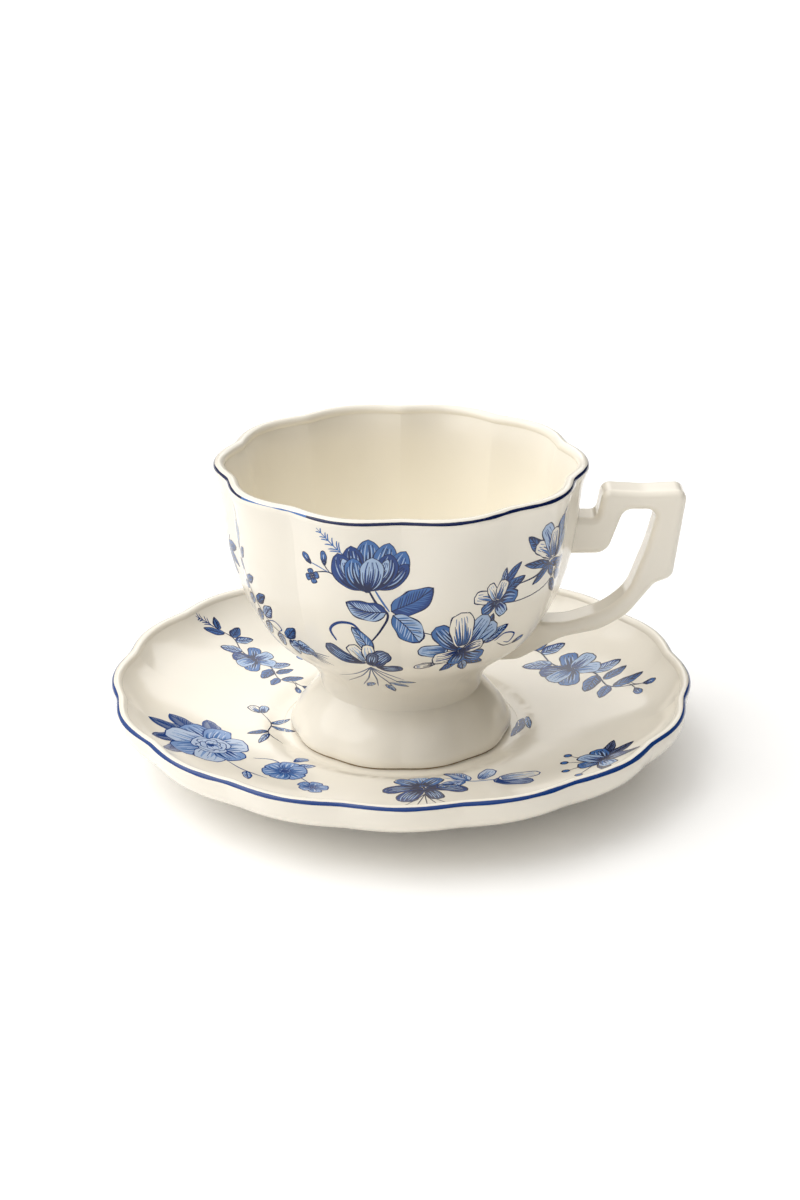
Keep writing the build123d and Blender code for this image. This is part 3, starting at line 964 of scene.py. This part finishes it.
class TEACUP_OT_print_saucer(Operator):
    """Lay the flower sprays round the saucer"""

    bl_idname = "teacup.print_saucer"
    bl_label = "Print the saucer"

    def execute(self, context):
        saucer = GlazedFace("saucer")
        # name, drawing, degrees from the front, radius in mm, scale, turn in degrees, strength
        sprays = [
            ("iris", iris_spray, 6, 43, 1.0, 0, "full"),
            ("stray_leaves", stray_leaves, 82, 31.0, 1.0, 0, "full"),
            ("windblown", windblown_spray, 33, 45, 1.15, 35, "pale"),
            ("berry", berry_spray, 56, 59, 1.15, 0, "full"),
            ("right_bramble", bramble_spray, 119, 56, 1.1, 172, "full"),
            ("back_berry", berry_spray, 156, 57, 1.2, 20, "pale"),
            ("back_rose", rose_spray, -172, 55, 0.95, 0, "pale"),
            ("left_bramble", bramble_spray, -130, 53, 0.8, -80, "full"),
            ("sprig", sprig_spray, -80, 36, 1.05, 0, "full"),
            ("rose", rose_spray, -67, 54, 1.15, 8, "pale"),
            ("pair", pair_spray, -39, 43.5, 1.1, -5, "pale"),
            ("back_pair", pair_spray, -153, 42, 0.85, 10, "pale"),
        ]
        for name, drawing, angle, radius, scale, turn, strength in sprays:
            place, tones = on_saucer(saucer, radians(angle), radius * MM), print_tones(context, strength)
            lay_print(f"print_saucer_{name}", drawing(), place, "saucer", tones, scale, radians(turn))
        return {"FINISHED"}


class TEACUP_OT_set_stage(Operator):
    """Lay the pale floor, hang the soft lights and stand the camera"""

    bl_idname = "teacup.set_stage"
    bl_label = "Set the stage"

    def execute(self, context):
        scene, stage = context.scene, context.scene.teacup_stage
        bpy.ops.mesh.primitive_plane_add(size=30.0)
        floor = context.object
        floor.name = "floor"
        # bleached matt paper, with a faint glow that keeps the page white
        finish = dict(Roughness=0.9, Specular_IOR_Level=0.1, Emission_Strength=0.04, Emission_Color=WHITE)
        paper, _, _ = new_material("matt_studio_paper", Base_Color=linear(stage.paper), **finish)
        floor.data.materials.append(paper)

        world = bpy.data.worlds.new("soft_tent")
        world.use_nodes = True
        tree = world.node_tree
        tree.nodes.clear()
        # a tent that glows overhead and to the left and falls off to the right
        way = add_node(tree, "ShaderNodeTexCoord").outputs["Generated"]
        facing = add_node(tree, "ShaderNodeVectorMath", [("Vector", way)], operation="DOT_PRODUCT")
        facing.inputs[1].default_value = Vector((-0.4, 0.0, 0.92)).normalized()
        fade = {"from_min": 0.2, "to_min": stage.dimmest, "to_max": stage.brightest}
        glow = add_node(tree, "ShaderNodeMapRange", [("Value", facing.outputs["Value"])], **fade)
        warm = (1.0, 0.98, 0.95, 1.0)
        tent = add_node(tree, "ShaderNodeBackground", [("Strength", glow.outputs["Result"])], color=warm)
        page = add_node(tree, "ShaderNodeBackground", color=WHITE)
        seen = add_node(tree, "ShaderNodeLightPath").outputs["Is Camera Ray"]
        both = add_node(tree, "ShaderNodeMixShader", [("Fac", seen)])
        tree.links.new(tent.outputs["Background"], both.inputs[1])
        tree.links.new(page.outputs["Background"], both.inputs[2])
        add_node(tree, "ShaderNodeOutputWorld", [("Surface", both.outputs["Shader"])])
        scene.world = world

        sun = bpy.data.lights.new("left_daylight", "SUN")
        sun.energy = stage.daylight
        sun.angle = radians(60)
        daylight = bpy.data.objects.new("left_daylight", sun)
        daylight.rotation_euler = Vector((-0.6, 0.0, 0.8)).to_track_quat("Z", "Y").to_euler()
        scene.collection.objects.link(daylight)
        # name, place, size, power: a card behind that the glaze mirrors, and a faint fill from the front
        lamps = [
            ("back_card", (0.3, 1.1, 0.75), (1.2, 0.5), 3.0),
            ("front_left_card", (-1.0, -1.0, 0.35), (1.2, 0.5), 1.5),
        ]
        for name, place, size, power in lamps:
            light = bpy.data.lights.new(name, "AREA")
            light.shape = "RECTANGLE"
            light.size, light.size_y = size
            light.energy = power
            lamp = bpy.data.objects.new(name, light)
            lamp.location = place
            lamp.rotation_euler = (Vector((0, 0, 0.03)) - Vector(place)).to_track_quat("-Z", "Y").to_euler()
            scene.collection.objects.link(lamp)

        camera = bpy.data.cameras.new("camera")
        camera.lens = stage.lens
        camera.sensor_width = 36.0
        camera.clip_start = 0.01
        viewer = bpy.data.objects.new("camera", camera)
        viewer.location = stage.eye
        viewer.rotation_euler = (pi / 2 - stage.tilt, 0.0, 0.0)
        scene.collection.objects.link(viewer)
        scene.camera = viewer
        scene.view_settings.view_transform = "Standard"
        return {"FINISHED"}


class TEACUP_PT_panel(Panel):
    bl_label = "Teacup"
    bl_space_type = "VIEW_3D"
    bl_region_type = "UI"
    bl_category = "Teacup"

    def draw(self, context):
        """List the operators in the order they are used."""
        for operator in OPERATORS:
            self.layout.operator(operator.bl_idname)


OPERATORS = (
    TEACUP_OT_glaze_ware,
    TEACUP_OT_wipe_and_shade_foot,
    TEACUP_OT_paint_rims,
    TEACUP_OT_print_cup,
    TEACUP_OT_print_saucer,
    TEACUP_OT_set_stage,
)
SETTINGS = {
    "teacup_glaze": TeacupGlazeSettings,
    "teacup_print": TeacupPrintSettings,
    "teacup_rims": TeacupRimSettings,
    "teacup_stage": TeacupStageSettings,
}


def register():
    """Register the settings, the operators and the panel."""
    for name, settings in SETTINGS.items():
        bpy.utils.register_class(settings)
        setattr(bpy.types.Scene, name, PointerProperty(type=settings))
    for operator in OPERATORS:
        bpy.utils.register_class(operator)
    bpy.utils.register_class(TEACUP_PT_panel)


def unregister():
    """Take back what register did."""
    bpy.utils.unregister_class(TEACUP_PT_panel)
    for operator in reversed(OPERATORS):
        bpy.utils.unregister_class(operator)
    for name, settings in SETTINGS.items():
        delattr(bpy.types.Scene, name)
        bpy.utils.unregister_class(settings)


def main():
    """Run every operator in order."""
    register()
    for operator in OPERATORS:
        group, action = operator.bl_idname.split(".")
        getattr(getattr(bpy.ops, group), action)()


if __name__ == "__main__":
    main()
